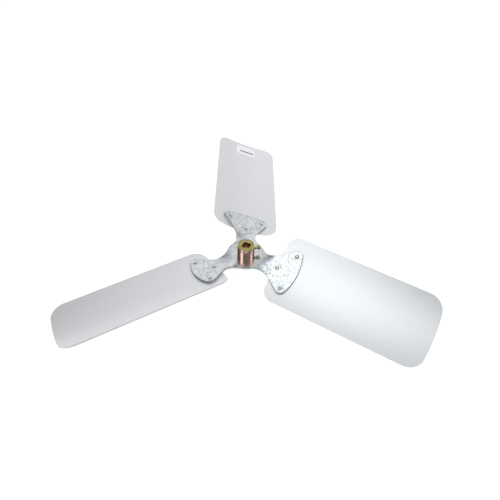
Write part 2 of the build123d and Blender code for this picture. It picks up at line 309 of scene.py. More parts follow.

# %% [markdown]
# ## Galvanised steel
# The spider was stamped from hot-dip galvanised sheet. The zinc freezes in flat crystals, the
# spangle, and each crystal is a little lighter or darker and shinier or duller than the next, with a
# trace of green or lilac. Fine cracks run through the zinc where the press twisted the arms, and
# there a bluish grey is painted on as painted shade, the darker room mirrored in the twisted metal.
# Handling and the die left dark specks and short scuffs, the press left a faint ring round each
# rivet, and the sheared edges are bare, dull and darker than the faces. A thin dark line of painted
# shade runs along each rim, where the die's rounded edge turns dark. A photographed texture could
# give all this, but noise with real sizes in millimetres never repeats, and each mark can be changed
# by itself.

# %% Galvanised steel: spangle
galvanised, tree, in_mm = start_finish("galvanised_spangled_steel")
SPANGLE_MM = 5.0
BLOTCHES_PER_MM = 0.3
BLOTCH_SHARE = 0.7
spangle = add(tree, "ShaderNodeTexVoronoi", {"Vector": in_mm["Plain"], "Scale": 1 / SPANGLE_MM})
crystal = add(tree, "ShaderNodeSeparateColor", {0: spangle.outputs["Color"]})
blotch = add(tree, "ShaderNodeTexNoise", {
    "Vector": in_mm["Plain"], "Scale": BLOTCHES_PER_MM, "Detail": 4.0, "Roughness": 0.6})
mixed = add(tree, "ShaderNodeMix", {0: BLOTCH_SHARE, 2: crystal.outputs[0], 3: blotch})
tone = add(tree, "ShaderNodeMapRange", {0: mixed, 1: NOISE_LOW, 2: NOISE_HIGH})
tint = add(tree, "ShaderNodeMix", {
    0: crystal.outputs[2], 6: linear("#E3EBE8"), 7: linear("#EAE8EF")}, data_type="RGBA")
face = add(tree, "ShaderNodeMix", {0: tone, 6: linear("#CCD1D2"), 7: tint.outputs[2]}, data_type="RGBA")
print(galvanised.name, "has crystals of", SPANGLE_MM, "mm")

# %% Galvanised steel: painted shade on the twisted necks
# The zinc is painted a bluish grey where the press twisted the arms. It is painted shade, the darker
# room mirrored in the twisted metal. The four distances from the axis say where that starts, is full,
# begins to fade and has gone.
NECK_MM = (23.0, 33.0, 38.0, 49.0)
NECK_PAINTED_SHADE = 0.36
level_arm = add(tree, "ShaderNodeVectorMath", {
    0: in_mm["Arm"], 1: (1.0, 1.0, 0.0)}, operation="MULTIPLY")
out_mm = add(tree, "ShaderNodeVectorMath", {0: level_arm}, operation="LENGTH")
neck_in = add(tree, "ShaderNodeMapRange", {
    0: out_mm.outputs["Value"], 1: NECK_MM[0], 2: NECK_MM[1], 4: NECK_PAINTED_SHADE})
neck_out = add(tree, "ShaderNodeMapRange", {
    0: out_mm.outputs["Value"], 1: NECK_MM[2], 2: NECK_MM[3], 3: 1.0, 4: 0.0})
neck_painted_shade = add(tree, "ShaderNodeMath", {0: neck_in, 1: neck_out}, operation="MULTIPLY")
# The bluish grey on the necks is painted shade
neck_shaded = add(tree, "ShaderNodeMix", {
    0: neck_painted_shade, 6: face.outputs[2], 7: linear("#A9B1BB")}, data_type="RGBA")
print(galvanised.name, "turns grey", NECK_MM[0], "to", NECK_MM[3], "mm from the axis")

# %% Galvanised steel: specks, scuffs and cracks
# Specks are 1 to 3 mm across
SPECKS_PER_MM = 0.4
specks = add(tree, "ShaderNodeTexNoise", {
    "Vector": in_mm["Plain"], "Scale": SPECKS_PER_MM, "Detail": 3.0, "Roughness": 0.65})
speck = add(tree, "ShaderNodeMapRange", {0: specks, 1: 0.57, 2: 0.66, 4: 0.8})
# Scuffs run one way across the whole sheet
SCUFF_ANGLE = math.radians(45)
SCUFF_MM = (15.0, 2.0, 4.0)
scuff_way = add(tree, "ShaderNodeVectorRotate", {
    "Vector": in_mm["Plain"], "Angle": SCUFF_ANGLE}, rotation_type="Z_AXIS")
scuff_place = add(tree, "ShaderNodeMapping", {0: scuff_way, "Scale": [1 / side for side in SCUFF_MM]})
scuffs = add(tree, "ShaderNodeTexNoise", {"Vector": scuff_place, "Scale": 1.0, "Detail": 1.0})
scuff = add(tree, "ShaderNodeMapRange", {0: scuffs, 1: 0.69, 2: 0.75, 4: 0.75})
# Fine cracks in the zinc wander between plates of about 12 mm, and come and go
CRACK_PLATE_MM = 12.0
CRACK_MM = 0.6
CRACK_WANDER_MM = 2.5
CRACK_GAPS_PER_MM = 0.09
wander = add(tree, "ShaderNodeVectorMath", {
    0: blotch.outputs["Color"], 1: [CRACK_WANDER_MM] * 3, 2: in_mm["Plain"]}, operation="MULTIPLY_ADD")
cracks = add(tree, "ShaderNodeTexVoronoi", {"Vector": wander, "Scale": 1 / CRACK_PLATE_MM},
             feature="DISTANCE_TO_EDGE")
crack_line = add(tree, "ShaderNodeMapRange", {
    0: cracks.outputs["Distance"], 1: 0.0, 2: CRACK_MM / CRACK_PLATE_MM, 3: 0.7, 4: 0.0})
crack_gaps = add(tree, "ShaderNodeTexNoise", {
    "Vector": in_mm["Plain"], "Scale": CRACK_GAPS_PER_MM, "Detail": 1.0})
crack_share = add(tree, "ShaderNodeMapRange", {0: crack_gaps, 1: 0.46, 2: 0.56})
crack = add(tree, "ShaderNodeMath", {0: crack_line, 1: crack_share}, operation="MULTIPLY")
flaw = add(tree, "ShaderNodeMath", {0: speck, 1: scuff}, operation="MAXIMUM")
worst = add(tree, "ShaderNodeMath", {0: flaw, 1: crack}, operation="MAXIMUM")
# The hub shelters the middle, which has fainter marks
SHELTER_MM = (18.0, 36.0)
SHELTERED_SHARE = 0.35
exposed = add(tree, "ShaderNodeMapRange", {
    0: out_mm.outputs["Value"], 1: SHELTER_MM[0], 2: SHELTER_MM[1], 3: SHELTERED_SHARE, 4: 1.0})
mark = add(tree, "ShaderNodeMath", {0: worst, 1: exposed}, operation="MULTIPLY")
marked = add(tree, "ShaderNodeMix", {
    0: mark, 6: neck_shaded.outputs[2], 7: linear("#7C8384")}, data_type="RGBA")
print(galvanised.name, "has specks, scuffs and cracks in", len(tree.nodes), "nodes")

# %% Galvanised steel: press rings round the rivets
# The ring is a little wider than the rivet's head, where the press bore on the pad
RING_MM = 5.4
RING_WIDTH_MM = 0.7
RIVET_INNER_MM = 57.2
RIVET_ROW_GAP_MM = 20.0
RIVET_HALF_SPREAD_MM = 26.85
RIVET_OUTER_MM = RIVET_INNER_MM + RIVET_ROW_GAP_MM
BEYOND_ALL_MM = 1000.0
rivet_places = (
    (RIVET_INNER_MM, 0.0, 0.0),
    (RIVET_OUTER_MM, -RIVET_HALF_SPREAD_MM, 0.0),
    (RIVET_OUTER_MM, RIVET_HALF_SPREAD_MM, 0.0),
)
nearest = BEYOND_ALL_MM
for rivet_place in rivet_places:
    away = add(tree, "ShaderNodeVectorMath", {0: level_arm, 1: rivet_place}, operation="DISTANCE")
    nearest = add(tree, "ShaderNodeMath", {0: nearest, 1: away.outputs["Value"]}, operation="MINIMUM")
off_ring = add(tree, "ShaderNodeMath", {0: nearest, 1: RING_MM}, operation="SUBTRACT")
ring_gap = add(tree, "ShaderNodeMath", {0: off_ring}, operation="ABSOLUTE")
ring = add(tree, "ShaderNodeMapRange", {0: ring_gap, 1: 0.0, 2: RING_WIDTH_MM, 3: 1.0, 4: 0.0})
broken_ring = add(tree, "ShaderNodeMath", {0: ring, 1: blotch}, operation="MULTIPLY")
ringed = add(tree, "ShaderNodeMix", {
    0: broken_ring, 6: marked.outputs[2], 7: linear("#A2A69C")}, data_type="RGBA")
print("press rings:", len(rivet_places), "to a pad,", RING_MM, "mm in radius")

# %% Galvanised steel: sheared edges, painted rim shade and gloss
own = add(tree, "ShaderNodeTexCoord")
tilt = add(tree, "ShaderNodeSeparateXYZ", {0: own.outputs["Normal"]})
level = add(tree, "ShaderNodeMath", {0: tilt.outputs["Z"]}, operation="ABSOLUTE")
sheared = add(tree, "ShaderNodeMapRange", {0: level, 1: 0.55, 2: 0.75, 3: 1.0, 4: 0.0})
# The die rounds the rim of each face a little, and the rounded rim turns dark. A thin dark line of painted
# shade along each rim stands in for it.
RIM_MM = 1.6
inward = add(tree, "ShaderNodeAmbientOcclusion", {"Distance": RIM_MM * MM}, inside=True, only_local=True)
rim_painted_shade = add(tree, "ShaderNodeMapRange", {0: inward.outputs["AO"], 1: 0.55, 2: 0.9, 3: 0.75, 4: 0.0})
rim_shaded = add(tree, "ShaderNodeMix", {
    0: rim_painted_shade, 6: ringed.outputs[2], 7: linear("#7E8286")}, data_type="RGBA")
edged = add(tree, "ShaderNodeMix", {
    0: sheared, 6: rim_shaded.outputs[2], 7: linear("#B2B5B7")}, data_type="RGBA")
# The flat centre is still bright, and the pads have been dulled by handling
PAD_START_MM = 18.0
PAD_FULL_MM = 34.0
CENTRE_ROUGHNESS = 0.11
PAD_ROUGHNESS = 0.30
CRYSTAL_ROUGHNESS = 0.05
MARK_ROUGHNESS = 0.45
EDGE_ROUGHNESS = 0.5
SPANGLE_DEPTH = 0.05 * MM
pad_dull = add(tree, "ShaderNodeMapRange", {
    0: out_mm.outputs["Value"], 1: PAD_START_MM, 2: PAD_FULL_MM, 3: CENTRE_ROUGHNESS, 4: PAD_ROUGHNESS})
face_gloss = add(tree, "ShaderNodeMath", {
    0: crystal.outputs[1], 1: CRYSTAL_ROUGHNESS, 2: pad_dull}, operation="MULTIPLY_ADD")
worn_gloss = add(tree, "ShaderNodeMix", {0: mark, 2: face_gloss, 3: MARK_ROUGHNESS})
gloss = add(tree, "ShaderNodeMix", {0: sheared, 2: worn_gloss, 3: EDGE_ROUGHNESS})
depth = add(tree, "ShaderNodeMath", {0: mixed, 1: mark}, operation="SUBTRACT")
unevenness = add(tree, "ShaderNodeMapRange", {
    0: out_mm.outputs["Value"], 1: PAD_START_MM, 2: PAD_FULL_MM, 3: 0.02, 4: 0.1})
relief = add(tree, "ShaderNodeBump", {
    "Height": depth, "Strength": unevenness, "Distance": SPANGLE_DEPTH})
shader = add(tree, "ShaderNodeBsdfPrincipled", {
    "Base Color": edged.outputs[2], "Metallic": 1.0, "Roughness": gloss, "Normal": relief})
add(tree, "ShaderNodeOutputMaterial", {"Surface": shader})
print(galvanised.name, "has", len(tree.nodes), "nodes")

# %% [markdown]
# ## Yellow zinc plate
# The hub and its screw are zinc plated and dipped in chromate. The film is thinner than a
# wavelength of light here and thicker there, so it shines olive, green and gold on the turned end
# and on the screw, and rose on the turned side. A pale cream in the chamfers is a painted highlight,
# the glint of the lamp on a rounded edge. The bore is almost bare and brown.
# A thin-film setting could work the colours out, but a few plain colours are easier to match.

# %% Yellow zinc plate: where the film is thick or thin
yellow_zinc, tree, in_mm = start_finish("yellow_chromate_zinc")
HUB_RADIUS_MM = 13.5
BORE_RADIUS_MM = 6.35
JUST_OUTSIDE_MM = (0.05, 0.15)
own = add(tree, "ShaderNodeTexCoord")
facing_axes = add(tree, "ShaderNodeSeparateXYZ", {0: own.outputs["Normal"]})
flat = add(tree, "ShaderNodeVectorMath", {0: in_mm["Plain"], 1: (1.0, 1.0, 0.0)}, operation="MULTIPLY")
from_axis = add(tree, "ShaderNodeVectorMath", {0: flat}, operation="LENGTH")
upward = add(tree, "ShaderNodeMapRange", {0: facing_axes.outputs["Z"], 1: 0.3, 2: 0.6})
on_screw = add(tree, "ShaderNodeMapRange", {
    0: from_axis.outputs["Value"],
    1: HUB_RADIUS_MM + JUST_OUTSIDE_MM[0], 2: HUB_RADIUS_MM + JUST_OUTSIDE_MM[1]})
thick = add(tree, "ShaderNodeMath", {0: upward, 1: on_screw}, operation="MAXIMUM")
in_bore = add(tree, "ShaderNodeMapRange", {
    0: from_axis.outputs["Value"],
    1: BORE_RADIUS_MM + JUST_OUTSIDE_MM[0], 2: BORE_RADIUS_MM + JUST_OUTSIDE_MM[1], 3: 1.0, 4: 0.0})
# The chamfers face up and outwards or inwards, between the flat end and the side. They get a painted
# highlight.
flat_end = add(tree, "ShaderNodeMapRange", {0: facing_axes.outputs["Z"], 1: 0.80, 2: 0.95})
chamfer_painted_highlight = add(tree, "ShaderNodeMath", {0: upward, 1: flat_end}, operation="SUBTRACT")
print("film zones: flat end, chamfers, side, screw and bore, in", len(tree.nodes), "nodes")

# %% Yellow zinc plate: colours and turning marks
CLOUDS_PER_MM = 0.16
clouds = add(tree, "ShaderNodeTexNoise", {
    "Vector": in_mm["Plain"], "Scale": CLOUDS_PER_MM, "Detail": 2.0})
cloud_share = add(tree, "ShaderNodeMapRange", {0: clouds, 1: 0.40, 2: 0.60})
olive = add(tree, "ShaderNodeMix", {
    0: cloud_share, 6: linear("#949E5C"), 7: linear("#B3A370")}, data_type="RGBA")
rose = add(tree, "ShaderNodeMix", {
    0: cloud_share, 6: linear("#E2B2A6"), 7: linear("#F3CFC2")}, data_type="RGBA")
film = add(tree, "ShaderNodeMix", {0: thick, 6: rose.outputs[2], 7: olive.outputs[2]}, data_type="RGBA")
# A pale cream painted highlight on the chamfers, the glint of the lamp on a rounded edge
chamfer_highlighted = add(tree, "ShaderNodeMix", {
    0: chamfer_painted_highlight, 6: film.outputs[2], 7: linear("#FBEBCF")}, data_type="RGBA")
bored = add(tree, "ShaderNodeMix", {
    0: in_bore, 6: chamfer_highlighted.outputs[2], 7: linear("#8A6E50")}, data_type="RGBA")
# The lathe's feed marks are about 0.2 mm apart. They are drawn 0.8 mm apart, or they would not show.
FEED_MM = 0.8
FEED_DEPTH = 0.05 * MM
PLATE_ROUGHNESS = (0.14, 0.22)
height_mm = add(tree, "ShaderNodeSeparateXYZ", {0: in_mm["Plain"]})
along_cut = add(tree, "ShaderNodeMix", {
    0: upward, 2: height_mm.outputs["Z"], 3: from_axis.outputs["Value"]})
rings = add(tree, "ShaderNodeTexNoise", {"W": along_cut, "Scale": 1 / FEED_MM, "Detail": 1.0},
            noise_dimensions="1D")
gloss = add(tree, "ShaderNodeMapRange", {
    0: rings, 1: NOISE_LOW, 2: NOISE_HIGH, 3: PLATE_ROUGHNESS[0], 4: PLATE_ROUGHNESS[1]})
relief = add(tree, "ShaderNodeBump", {"Height": rings, "Strength": 0.06, "Distance": FEED_DEPTH})
shader = add(tree, "ShaderNodeBsdfPrincipled", {
    "Base Color": bored.outputs[2], "Metallic": 1.0, "Roughness": gloss, "Normal": relief,
    "Specular Tint": linear("#7A5C48")})
add(tree, "ShaderNodeOutputMaterial", {"Surface": shader})
print(yellow_zinc.name, "has", len(tree.nodes), "nodes")

# %% [markdown]
# ## Rivet steel
# The rivets are zinc plated steel, a little olive from age. A painted shade darkens the foot of each
# head, where it meets the pad. The recipe that makes the rivets further down stores how far each point
# is from its rivet's axis, as a share of the head, and the finish reads that attribute to paint that shade.

# %% Rivet steel
rivet_zinc, tree, in_mm = start_finish("zinc_plated_rivet_steel")
FOOT = "share_of_head"
PATCHES_PER_MM = 0.6
PATCH_DEPTH = 0.1 * MM
RIVET_ROUGHNESS = (0.34, 0.46)
clouds = add(tree, "ShaderNodeTexNoise", {
    "Vector": in_mm["Plain"], "Scale": PATCHES_PER_MM, "Detail": 2.0})
colour = add(tree, "ShaderNodeMix", {
    0: clouds, 6: linear("#C6C5B6"), 7: linear("#E6E5D8")}, data_type="RGBA")
outer_share = add(tree, "ShaderNodeAttribute", attribute_name=FOOT)
# Painted shade darkens the foot of each head, where it meets the pad
foot_painted_shade = add(tree, "ShaderNodeMapRange", {0: outer_share.outputs["Fac"], 1: 0.5, 2: 0.92})
foot_shaded = add(tree, "ShaderNodeMix", {
    0: foot_painted_shade, 6: colour.outputs[2], 7: linear("#66655A")}, data_type="RGBA")
gloss = add(tree, "ShaderNodeMapRange", {
    0: clouds, 1: NOISE_LOW, 2: NOISE_HIGH, 3: RIVET_ROUGHNESS[0], 4: RIVET_ROUGHNESS[1]})
relief = add(tree, "ShaderNodeBump", {"Height": clouds, "Strength": 0.15, "Distance": PATCH_DEPTH})
shader = add(tree, "ShaderNodeBsdfPrincipled", {
    "Base Color": foot_shaded.outputs[2], "Metallic": 1.0, "Roughness": gloss, "Normal": relief})
add(tree, "ShaderNodeOutputMaterial", {"Surface": shader})
print(rivet_zinc.name, "has", len(tree.nodes), "nodes")

# %% [markdown]
# ## Label paper
# The label is matt white paper with one plain dark bar. The bar is a rectangle in the arm's own
# coordinates, so it needs no picture: it is the product of two soft-edged stripes. The paper is
# given a faint glow, painted light that makes it brighter than the lamps alone would.

# %% Label paper
label_paper, tree, in_mm = start_finish("matt_label_paper")
BAR_X_MM = 279.5
BAR_THICKNESS_MM = 2.8
BAR_Y_MM = 1.0
BAR_LENGTH_MM = 26.0
BAR_BLUR_MM = 0.15
spot = add(tree, "ShaderNodeSeparateXYZ", {0: in_mm["Arm"]})
bar = 1.0
for axis, centre, length in (("X", BAR_X_MM, BAR_THICKNESS_MM), ("Y", BAR_Y_MM, BAR_LENGTH_MM)):
    off_centre = add(tree, "ShaderNodeMath", {0: spot.outputs[axis], 1: centre}, operation="SUBTRACT")
    away = add(tree, "ShaderNodeMath", {0: off_centre}, operation="ABSOLUTE")
    stripe = add(tree, "ShaderNodeMapRange", {
        0: away, 1: length / 2 - BAR_BLUR_MM, 2: length / 2 + BAR_BLUR_MM, 3: 1.0, 4: 0.0})
    bar = add(tree, "ShaderNodeMath", {0: bar, 1: stripe}, operation="MULTIPLY")
# Paper fibres are about 0.1 mm thick. They are drawn 0.5 mm thick, or they would not show.
FIBRES_PER_MM = 2.0
FIBRE_DEPTH = 0.02 * MM
PAPER_ROUGHNESS = (0.55, 0.7)
# A faint glow of painted light brightens the paper
PAPER_PAINTED_GLOW = 0.12
fibres = add(tree, "ShaderNodeTexNoise", {
    "Vector": in_mm["Plain"], "Scale": FIBRES_PER_MM, "Detail": 3.0})
paper = add(tree, "ShaderNodeMix", {
    0: fibres, 6: linear("#F4F4F8"), 7: linear("#FDFDFF")}, data_type="RGBA")
printed = add(tree, "ShaderNodeMix", {
    0: bar, 6: paper.outputs[2], 7: linear("#3A3B40")}, data_type="RGBA")
gloss = add(tree, "ShaderNodeMapRange", {0: fibres, 3: PAPER_ROUGHNESS[0], 4: PAPER_ROUGHNESS[1]})
relief = add(tree, "ShaderNodeBump", {"Height": fibres, "Strength": 0.1, "Distance": FIBRE_DEPTH})
shader = add(tree, "ShaderNodeBsdfPrincipled", {
    "Base Color": printed.outputs[2], "Roughness": gloss, "Normal": relief,
    "Emission Color": printed.outputs[2], "Emission Strength": PAPER_PAINTED_GLOW})
add(tree, "ShaderNodeOutputMaterial", {"Surface": shader})
print(label_paper.name, "has a bar of", BAR_LENGTH_MM, "by", BAR_THICKNESS_MM, "mm")

# %% [markdown]
# ## Dressing the solids
# Each solid from CAD gets the finish of the real piece. The first word of a node's name says what
# it is, so a short table is enough, and a node that CAD adds later is dressed with its kind.

# %% Dress the CAD nodes
FINISHES = {
    "blade": mill_aluminium,
    "spider": galvanised,
    "hub": yellow_zinc,
    "set": yellow_zinc,
    "rivet": rivet_zinc,
    "label": label_paper,
}
for name, node in nodes.items():
    node.data.materials.clear()
    node.data.materials.append(FINISHES[name.split("_")[0]])
print("dressed", len(nodes), "solids in", len(set(FINISHES.values())), "finishes")

# %% [markdown]
# ## Growing a piece
# A Geometry Nodes tree is a recipe with named sizes. It runs here as a modifier on an empty mesh.
# Its sizes are set by each socket's identifier, other modifiers may finish the shape, and the
# evaluated result is kept as a plain mesh, so that nothing live is left on the piece.


# %% A helper that grows a piece
def start_recipe(name, sizes):
    """A Geometry Nodes tree with one float input for each size, and the sockets that give them."""
    tree = bpy.data.node_groups.new(name, "GeometryNodeTree")
    tree.interface.new_socket("Mesh", in_out="OUTPUT", socket_type="NodeSocketGeometry")
    for size in sizes:
        tree.interface.new_socket(size, in_out="INPUT", socket_type="NodeSocketFloat")
    return tree, add(tree, "NodeGroupInput").outputs


def grow(name, recipe, sizes, material, finishing=()):
    """Runs a recipe with its sizes, finishes it with modifiers and keeps the result as a plain mesh."""
    piece = bpy.data.objects.new(name, bpy.data.meshes.new(name))
    piece.data.materials.append(material)
    scene.collection.objects.link(piece)
    shape = piece.modifiers.new("shape", "NODES")
    shape.node_group = recipe
    for socket in recipe.interface.items_tree:
        if socket.in_out == "INPUT":
            shape[socket.identifier] = sizes[socket.name]
    for kind, settings in finishing:
        finish = piece.modifiers.new(kind.lower(), kind)
        for setting, value in settings.items():
            setattr(finish, setting, value)
    bpy.context.view_layer.update()
    seen = piece.evaluated_get(bpy.context.evaluated_depsgraph_get())
    grown = bpy.data.meshes.new_from_object(seen)
    piece.modifiers.clear()
    piece.data = grown
    grown.name = name
    # The tree leaves an empty slot before its material, so one slot is set up anew
    grown.materials.clear()
    grown.materials.append(material)
    grown.polygons.foreach_set("material_index", [0] * len(grown.polygons))
    print(name, "has", len(grown.polygons), "faces")
    return piece


# %% [markdown]
# ## The rivets
# Three rivets hold each blade. Each has a low dome that was formed by the press above the pad, and
# a wider factory head under the blade. The nine could be copied by hand, but one recipe is
# better: it turns one profile round an axis, sets three of them square to the curved pad, and
# repeats those three on every arm. A little chance in their size makes them look pressed one by one.

# %% Sizes of the pads and rivets
PITCH = math.radians(20.1)
PAD_TOP_RADIUS = 199.8 * MM
PAD_THICKNESS = 3.0 * MM
BLADE_THICKNESS = 1.3 * MM
RIVET_SIZES = {
    "Inner distance": RIVET_INNER_MM * MM,
    "Row gap": RIVET_ROW_GAP_MM * MM,
    "Half spread": RIVET_HALF_SPREAD_MM * MM,
    "Shank radius": 2.4 * MM,
    "Formed radius": 3.1 * MM,
    "Formed height": 1.2 * MM,
    "Factory radius": 4.2 * MM,
    "Factory height": 1.9 * MM,
    "Pitch": PITCH,
    "Pad radius": PAD_TOP_RADIUS,
    "Grip": PAD_THICKNESS + BLADE_THICKNESS,
    "Uneven": 0.03,
}
RIVET_SEED = 7
RIVETS_PER_PAD = 3
AROUND = 32
ALONG_DOME = 9
SHOULDER = 0.75
LATHE_RADIUS = 0.0005 * MM
WELD = 0.002 * MM
print("each rivet grips", round(RIVET_SIZES["Grip"] / MM, 2), "mm of sheet")

# %% The rivet recipe: one turned profile
rivet_recipe, size = start_recipe("rivets_on_pads", RIVET_SIZES)
tree = rivet_recipe
# The profile's first axis points away from the rivet's axis and its second down along it
head_height = add(tree, "ShaderNodeMath", {0: size["Formed height"], 1: -1.0}, operation="MULTIPLY")
head_top = add(tree, "ShaderNodeCombineXYZ", {1: head_height})
head_rim = add(tree, "ShaderNodeCombineXYZ", {0: size["Formed radius"]})
shoulder_out = add(tree, "ShaderNodeMath", {0: size["Formed radius"], 1: SHOULDER}, operation="MULTIPLY")
head_shoulder = add(tree, "ShaderNodeCombineXYZ", {0: shoulder_out, 1: head_height})
neck_top = add(tree, "ShaderNodeCombineXYZ", {0: size["Shank radius"]})
neck_bottom = add(tree, "ShaderNodeCombineXYZ", {0: size["Shank radius"], 1: size["Grip"]})
tail_rim = add(tree, "ShaderNodeCombineXYZ", {0: size["Factory radius"], 1: size["Grip"]})
lowest = add(tree, "ShaderNodeMath", {0: size["Grip"], 1: size["Factory height"]})
tail_out = add(tree, "ShaderNodeMath", {0: size["Factory radius"], 1: SHOULDER}, operation="MULTIPLY")
tail_shoulder = add(tree, "ShaderNodeCombineXYZ", {0: tail_out, 1: lowest})
tail_end = add(tree, "ShaderNodeCombineXYZ", {1: lowest})
stretches = [
    add(tree, "GeometryNodeCurveQuadraticBezier", {
        "Resolution": ALONG_DOME, "Start": head_top,
        "Middle": head_shoulder, "End": head_rim}),
    add(tree, "GeometryNodeCurvePrimitiveLine", {"Start": head_rim, "End": neck_top}),
    add(tree, "GeometryNodeCurvePrimitiveLine", {"Start": neck_top, "End": neck_bottom}),
    add(tree, "GeometryNodeCurvePrimitiveLine", {"Start": neck_bottom, "End": tail_rim}),
    add(tree, "GeometryNodeCurveQuadraticBezier", {
        "Resolution": ALONG_DOME, "Start": tail_rim,
        "Middle": tail_shoulder, "End": tail_end}),
]
profile = add(tree, "GeometryNodeJoinGeometry")
for stretch in reversed(stretches):
    tree.links.new(stretch.outputs[0], profile.inputs[0])
# Turned on a lathe: the profile is swept round a circle that is too small to matter
lathe = add(tree, "GeometryNodeCurvePrimitiveCircle", {"Resolution": AROUND, "Radius": LATHE_RADIUS})
turned_rivet = add(tree, "GeometryNodeCurveToMesh", {"Curve": lathe, "Profile Curve": profile})
merged = add(tree, "GeometryNodeMergeByDistance", {"Geometry": turned_rivet, "Distance": WELD})
profile_place = add(tree, "GeometryNodeInputPosition")
level_place = add(tree, "ShaderNodeVectorMath", {
    0: profile_place, 1: (1.0, 1.0, 0.0)}, operation="MULTIPLY")
out_from_axis = add(tree, "ShaderNodeVectorMath", {0: level_place}, operation="LENGTH")
head_share = add(tree, "ShaderNodeMath", {
    0: out_from_axis.outputs["Value"], 1: size["Formed radius"]}, operation="DIVIDE")
welded = add(tree, "GeometryNodeStoreNamedAttribute", {
    "Geometry": merged, "Name": FOOT, "Value": head_share},
    data_type="FLOAT", domain="POINT")
print("rivet profile:", len(stretches), "stretches, turned in", AROUND, "steps")

# %% The rivet recipe: three on each pad, and a set for each arm
number = add(tree, "GeometryNodeInputIndex")
outer = add(tree, "ShaderNodeMath", {0: number, 1: 1.0}, operation="MINIMUM")
x_place = add(tree, "ShaderNodeMath", {0: size["Row gap"], 1: outer, 2: size["Inner distance"]},
              operation="MULTIPLY_ADD")
# Rivet 0 is on the arm's centre line, rivet 1 on the leading side and rivet 2 on the trailing side
doubled = add(tree, "ShaderNodeMath", {0: number, 1: 2.0, 2: -3.0}, operation="MULTIPLY_ADD")
which_side = add(tree, "ShaderNodeMath", {0: doubled, 1: outer}, operation="MULTIPLY")
y_place = add(tree, "ShaderNodeMath", {0: which_side, 1: size["Half spread"]}, operation="MULTIPLY")
# The pad is part of a cylinder that touches the pitched plane along the arm's centre line
pitch_sine = add(tree, "ShaderNodeMath", {0: size["Pitch"]}, operation="SINE")
pitch_cosine = add(tree, "ShaderNodeMath", {0: size["Pitch"]}, operation="COSINE")
y_share = add(tree, "ShaderNodeMath", {0: y_place, 1: size["Pad radius"]}, operation="DIVIDE")
tilt_sine = add(tree, "ShaderNodeMath", {0: y_share, 1: pitch_sine})
tilt_angle = add(tree, "ShaderNodeMath", {0: tilt_sine}, operation="ARCSINE")
tilt_cosine = add(tree, "ShaderNodeMath", {0: tilt_angle}, operation="COSINE")
rise = add(tree, "ShaderNodeMath", {0: pitch_cosine, 1: tilt_cosine}, operation="SUBTRACT")
z_place = add(tree, "ShaderNodeMath", {0: rise, 1: size["Pad radius"]}, operation="MULTIPLY")
seat = add(tree, "ShaderNodeCombineXYZ", {0: x_place, 1: y_place, 2: z_place})
square = add(tree, "ShaderNodeCombineXYZ", {0: tilt_angle})
seats = add(tree, "GeometryNodePoints", {"Count": RIVETS_PER_PAD, "Position": seat})
tilted = add(tree, "FunctionNodeEulerToRotation", {0: square})
one_pad = add(tree, "GeometryNodeInstanceOnPoints", {
    "Points": seats, "Instance": welded, "Rotation": tilted})
arm_turn = add(tree, "ShaderNodeMath", {0: number, 1: math.tau / ARM_COUNT}, operation="MULTIPLY")
about_axis = add(tree, "ShaderNodeCombineXYZ", {2: arm_turn})
arm_rotation = add(tree, "FunctionNodeEulerToRotation", {0: about_axis})
arms = add(tree, "GeometryNodePoints", {"Count": ARM_COUNT})
all_pads = add(tree, "GeometryNodeInstanceOnPoints", {
    "Points": arms, "Instance": one_pad, "Rotation": arm_rotation})
opened = add(tree, "GeometryNodeRealizeInstances", {
    "Geometry": all_pads, "Realize All": False, "Depth": 1})
least = add(tree, "ShaderNodeMath", {0: 1.0, 1: size["Uneven"]}, operation="SUBTRACT")
most = add(tree, "ShaderNodeMath", {0: 1.0, 1: size["Uneven"]})
chance = add(tree, "FunctionNodeRandomValue", {"Min": least, "Max": most, "Seed": RIVET_SEED})
pressed = add(tree, "GeometryNodeScaleInstances", {
    "Instances": opened, "Scale": chance.outputs["Value"]})
solid = add(tree, "GeometryNodeRealizeInstances", {"Geometry": pressed})
smooth = add(tree, "GeometryNodeSetShadeSmooth", {"Geometry": solid})
dressed = add(tree, "GeometryNodeSetMaterial", {"Geometry": smooth, "Material": rivet_zinc})
add(tree, "NodeGroupOutput", {0: dressed})
print(rivet_recipe.name, "has", len(tree.nodes), "nodes")

# %% Set the nine rivets
rivets = grow("rivets", rivet_recipe, RIVET_SIZES, rivet_zinc)
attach(rivets, "root")
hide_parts(*[name for name in nodes if name.startswith("rivet_")])

# %% [markdown]
# ## The blades
# Each blade is a flat blank, cut with round corners and an edge that follows the tip circle, and
# then rolled about one straight axis, so it is part of a cylinder. That is a rule with a few
# sizes, and Geometry Nodes can hold it: a square grid is stretched between the root edge and the
# tip edge, and then bent. A mesh cut from the CAD solid would give long thin triangles, while
# this grid runs along the blade. Solidify gives the sheet its thickness and Bevel eases its edges.

# %% Sizes of the blade
TIP_RADIUS = 304.8 * MM
LEADING_REACH = 55.0 * MM
TRAILING_REACH = 59.4 * MM
ROOT_DISTANCE = 52.2 * MM
ROOT_SWELL = 5.0 * MM
EASED_EDGE = 0.2 * MM
ROWS_ALONG = 41
ROWS_ACROSS = 49
CROWDING = math.radians(84)
